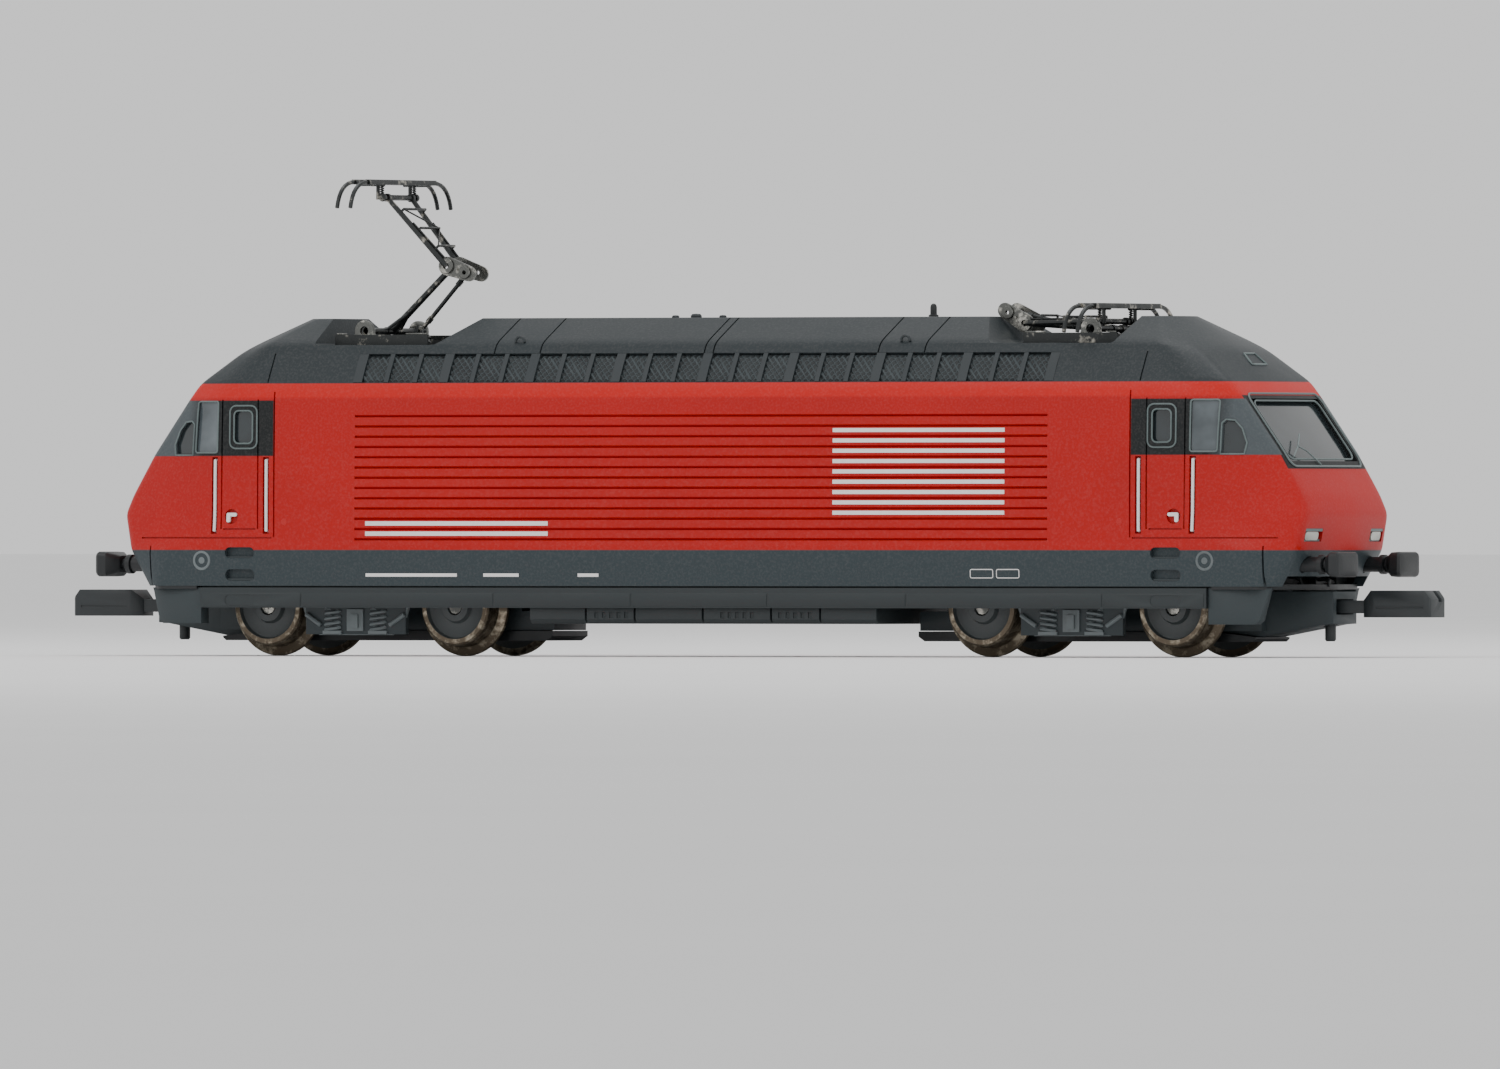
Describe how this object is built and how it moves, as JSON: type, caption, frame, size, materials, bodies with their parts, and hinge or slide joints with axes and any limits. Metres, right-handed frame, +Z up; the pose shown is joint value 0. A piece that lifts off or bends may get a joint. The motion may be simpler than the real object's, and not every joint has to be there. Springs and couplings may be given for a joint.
{
  "type": "model electric locomotive",
  "caption": "Small-scale model electric locomotive with a ribbed box body, sloped cabs, folding pantographs, swivelling geared bogies and hook couplers.",
  "frame": {"origin": "centre of the locomotive's bounding box, at the lowest point of the wheel flanges", "axes": "+X along the locomotive towards the cab whose pantograph is folded, +Z up, +Y to the left when facing +X"},
  "size_m": [0.0916, 0.0136, 0.0285],
  "materials": {
    "red_paint": "satin red paint on moulded plastic",
    "smoked_clear": "smoked clear plastic",
    "frame_metal": "dark grey paint on die cast metal",
    "skirt_plastic": "grey moulded plastic",
    "dark_plastic": "black moulded plastic",
    "bogie_plastic": "grey moulded plastic",
    "board": "green lacquered board",
    "carbon": "sintered carbon",
    "bright_steel": "plain steel",
    "wheel_metal": "nickel silver with a worn brown tint",
    "burnished_steel": "dark burnished steel",
    "brass": "turned brass",
    "gear_plastic": "natural acetal"
  },
  "bodies": {
    "chassis": {"body_shell": "red_paint", "cab_glazing_front": "smoked_clear", "cab_glazing_rear": "smoked_clear", "roof_aerial": "dark_plastic", "chassis_frame": "frame_metal", "equipment_box": "frame_metal", "front_skirt_front": "skirt_plastic", "front_skirt_rear": "skirt_plastic", "buffer_front_1": "dark_plastic", "buffer_front_2": "dark_plastic", "buffer_rear_1": "dark_plastic", "buffer_rear_2": "dark_plastic", "circuit_board": "board", "board_screw": "brass", "motor_can": "bright_steel", "carbon_brush_1": "carbon", "carbon_brush_2": "carbon", "shaft_bearing_front": "brass", "shaft_bearing_rear": "brass", "pantograph_base_front": "burnished_steel", "pantograph_base_rear": "burnished_steel"},
    "motor_shaft": {"armature": "burnished_steel", "worm_front": "brass", "worm_rear": "brass"},
    "bogie_front": {"bogie_frame_front": "bogie_plastic", "bogie_cover_front": "dark_plastic", "coupler_spring_front": "bright_steel"},
    "worm_wheel_front": {"worm_wheel_front": "gear_plastic"},
    "idler_front_1": {"idler_gear_front_1": "gear_plastic"},
    "wheelset_front_1": {"geared_axle_front_1": "bright_steel", "wheel_front_1_a": "wheel_metal", "wheel_front_1_b": "wheel_metal"},
    "idler_front_2": {"idler_gear_front_2": "gear_plastic"},
    "wheelset_front_2": {"geared_axle_front_2": "bright_steel", "wheel_front_2_a": "wheel_metal", "wheel_front_2_b": "wheel_metal"},
    "coupler_front": {"coupler_front": "dark_plastic"},
    "lower_arm_front": {"lower_arm_front": "burnished_steel"},
    "thrust_rod_front": {"thrust_rod_front": "burnished_steel"},
    "upper_arm_front": {"upper_arm_front": "burnished_steel"},
    "pantograph_head_front": {"pantograph_head_front": "burnished_steel"},
    "bogie_rear": {"bogie_frame_rear": "bogie_plastic", "bogie_cover_rear": "dark_plastic", "coupler_spring_rear": "bright_steel"},
    "worm_wheel_rear": {"worm_wheel_rear": "gear_plastic"},
    "idler_rear_1": {"idler_gear_rear_1": "gear_plastic"},
    "wheelset_rear_1": {"geared_axle_rear_1": "bright_steel", "wheel_rear_1_a": "wheel_metal", "wheel_rear_1_b": "wheel_metal"},
    "idler_rear_2": {"idler_gear_rear_2": "gear_plastic"},
    "wheelset_rear_2": {"geared_axle_rear_2": "bright_steel", "wheel_rear_2_a": "wheel_metal", "wheel_rear_2_b": "wheel_metal"},
    "coupler_rear": {"coupler_rear": "dark_plastic"},
    "lower_arm_rear": {"lower_arm_rear": "burnished_steel"},
    "thrust_rod_rear": {"thrust_rod_rear": "burnished_steel"},
    "upper_arm_rear": {"upper_arm_rear": "burnished_steel"},
    "pantograph_head_rear": {"pantograph_head_rear": "burnished_steel"}
  },
  "joints": [
    {"name": "motor_spin", "type": "hinge", "parent": "chassis", "child": "motor_shaft", "pos_m": [0, 0, 0.0088], "axis": [1, 0, 0], "continuous": true},
    {"name": "bogie_front_swivel", "type": "hinge", "parent": "chassis", "child": "bogie_front", "pos_m": [0.02415, 0, 0.0064], "axis": [0, 0, 1], "range_deg": [-9, 9]},
    {"name": "worm_wheel_front_spin", "type": "hinge", "parent": "bogie_front", "child": "worm_wheel_front", "pos_m": [0.02415, 0, 0.0057], "axis": [0, 1, 0], "continuous": true},
    {"name": "idler_front_1_spin", "type": "hinge", "parent": "bogie_front", "child": "idler_front_1", "pos_m": [0.02749, 0, 0.00379], "axis": [0, 1, 0], "continuous": true},
    {"name": "wheelset_front_1_spin", "type": "hinge", "parent": "bogie_front", "child": "wheelset_front_1", "pos_m": [0.03053, 0, 0.00294], "axis": [0, 1, 0], "continuous": true},
    {"name": "idler_front_2_spin", "type": "hinge", "parent": "bogie_front", "child": "idler_front_2", "pos_m": [0.02081, 0, 0.00379], "axis": [0, 1, 0], "continuous": true},
    {"name": "wheelset_front_2_spin", "type": "hinge", "parent": "bogie_front", "child": "wheelset_front_2", "pos_m": [0.01777, 0, 0.00294], "axis": [0, 1, 0], "continuous": true},
    {"name": "coupler_front_swing", "type": "hinge", "parent": "bogie_front", "child": "coupler_front", "pos_m": [0.0387, 0, 0.003], "axis": [0, 0, 1], "range_deg": [-10, 10], "stiffness_Nm_per_rad": 0.00002},
    {"name": "pantograph_front_lift", "type": "hinge", "parent": "chassis", "child": "lower_arm_front", "pos_m": [0.0245, 0, 0.01945], "axis": [0, 1, 0], "range_deg": [0, 39.4]},
    {"name": "upper_arm_front_turn", "type": "hinge", "parent": "lower_arm_front", "child": "upper_arm_front", "pos_m": [0.01878, 0, 0.0198], "axis": [0, -1, 0], "range_deg": [0, 86.35]},
    {"name": "head_front_level", "type": "hinge", "parent": "upper_arm_front", "child": "pantograph_head_front", "pos_m": [0.0243, 0, 0.0199], "axis": [0, 1, 0], "range_deg": [0, 46.95]},
    {"name": "thrust_rod_front_turn", "type": "hinge", "parent": "chassis", "child": "thrust_rod_front", "pos_m": [0.02223, 0, 0.0195], "axis": [0, 1, 0], "range_deg": [0, 35.86]},
    {"name": "bogie_rear_swivel", "type": "hinge", "parent": "chassis", "child": "bogie_rear", "pos_m": [-0.02415, 0, 0.0064], "axis": [0, 0, 1], "range_deg": [-9, 9]},
    {"name": "worm_wheel_rear_spin", "type": "hinge", "parent": "bogie_rear", "child": "worm_wheel_rear", "pos_m": [-0.02415, 0, 0.0057], "axis": [0, 1, 0], "continuous": true},
    {"name": "idler_rear_1_spin", "type": "hinge", "parent": "bogie_rear", "child": "idler_rear_1", "pos_m": [-0.02749, 0, 0.00379], "axis": [0, 1, 0], "continuous": true},
    {"name": "wheelset_rear_1_spin", "type": "hinge", "parent": "bogie_rear", "child": "wheelset_rear_1", "pos_m": [-0.03053, 0, 0.00294], "axis": [0, 1, 0], "continuous": true},
    {"name": "idler_rear_2_spin", "type": "hinge", "parent": "bogie_rear", "child": "idler_rear_2", "pos_m": [-0.02081, 0, 0.00379], "axis": [0, 1, 0], "continuous": true},
    {"name": "wheelset_rear_2_spin", "type": "hinge", "parent": "bogie_rear", "child": "wheelset_rear_2", "pos_m": [-0.01777, 0, 0.00294], "axis": [0, 1, 0], "continuous": true},
    {"name": "coupler_rear_swing", "type": "hinge", "parent": "bogie_rear", "child": "coupler_rear", "pos_m": [-0.0387, 0, 0.003], "axis": [0, 0, 1], "range_deg": [-10, 10], "stiffness_Nm_per_rad": 0.00002},
    {"name": "pantograph_rear_lift", "type": "hinge", "parent": "chassis", "child": "lower_arm_rear", "pos_m": [-0.0245, 0, 0.01945], "axis": [0, -1, 0], "range_deg": [-39.4, 0], "stiffness_Nm_per_rad": 0.00001, "springref_deg": 45.84},
    {"name": "upper_arm_rear_turn", "type": "hinge", "parent": "lower_arm_rear", "child": "upper_arm_rear", "pos_m": [-0.0203, 0, 0.02335], "axis": [0, 1, 0], "range_deg": [-86.35, 0]},
    {"name": "head_rear_level", "type": "hinge", "parent": "upper_arm_rear", "child": "pantograph_head_rear", "pos_m": [-0.024, 0, 0.02745], "axis": [0, -1, 0], "range_deg": [-46.95, 0]},
    {"name": "thrust_rod_rear_turn", "type": "hinge", "parent": "chassis", "child": "thrust_rod_rear", "pos_m": [-0.02223, 0, 0.0195], "axis": [0, -1, 0], "range_deg": [-35.86, 0]}
  ],
  "couplings": [
    {"joint": "worm_wheel_front_spin", "follows": "motor_spin", "ratio": 0.083333},
    {"joint": "idler_front_1_spin", "follows": "motor_spin", "ratio": -0.1},
    {"joint": "wheelset_front_1_spin", "follows": "motor_spin", "ratio": 0.125},
    {"joint": "idler_front_2_spin", "follows": "motor_spin", "ratio": -0.1},
    {"joint": "wheelset_front_2_spin", "follows": "motor_spin", "ratio": 0.125},
    {"joint": "upper_arm_front_turn", "follows": "pantograph_front_lift", "ratio": 2.1904},
    {"joint": "head_front_level", "follows": "pantograph_front_lift", "ratio": 1.1904},
    {"joint": "thrust_rod_front_turn", "follows": "pantograph_front_lift", "ratio": 0.90901},
    {"joint": "worm_wheel_rear_spin", "follows": "motor_spin", "ratio": 0.083333},
    {"joint": "idler_rear_1_spin", "follows": "motor_spin", "ratio": -0.1},
    {"joint": "wheelset_rear_1_spin", "follows": "motor_spin", "ratio": 0.125},
    {"joint": "idler_rear_2_spin", "follows": "motor_spin", "ratio": -0.1},
    {"joint": "wheelset_rear_2_spin", "follows": "motor_spin", "ratio": 0.125},
    {"joint": "upper_arm_rear_turn", "follows": "pantograph_rear_lift", "ratio": 2.1904},
    {"joint": "head_rear_level", "follows": "pantograph_rear_lift", "ratio": 1.1904},
    {"joint": "thrust_rod_rear_turn", "follows": "pantograph_rear_lift", "ratio": 0.90901}
  ]
}
